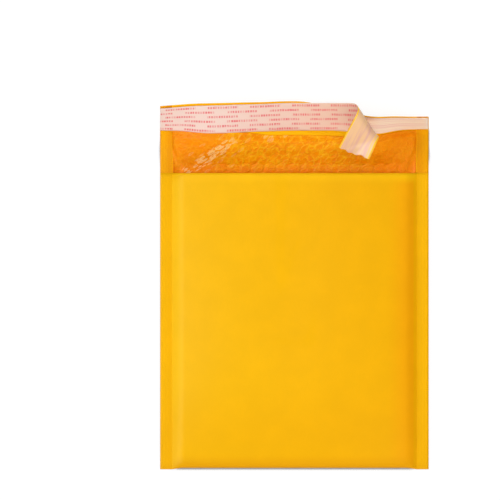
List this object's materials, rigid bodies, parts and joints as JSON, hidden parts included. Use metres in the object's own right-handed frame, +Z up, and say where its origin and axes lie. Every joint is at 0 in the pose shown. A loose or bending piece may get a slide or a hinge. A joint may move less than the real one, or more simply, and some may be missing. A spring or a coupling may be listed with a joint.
{
  "type": "padded envelope",
  "caption": "Bubble-lined paper envelope lying on its back, flap raised and release liner part-peeled.",
  "frame": {"origin": "on the resting face of the back panel, midway between the side seams and between the bottom fold and the mouth", "axes": "+X across the width to the end where the liner is peeled, +Y from the bottom fold to the mouth and flap, +Z up out of the back panel"},
  "size_m": [0.1843, 0.2525, 0.0512],
  "materials": {
    "kraft_paper": "matt golden-yellow kraft paper",
    "bubble_film": "glossy clear film over the yellow paper, tinted by it",
    "adhesive": "satin hot-melt adhesive",
    "liner_paper": "smooth silicone-coated paper"
  },
  "bodies": {
    "root": {"paper_shell": "kraft_paper", "bubble_lining": "bubble_film", "adhesive_strip": "adhesive", "release_liner": "liner_paper"}
  },
  "joints": []
}
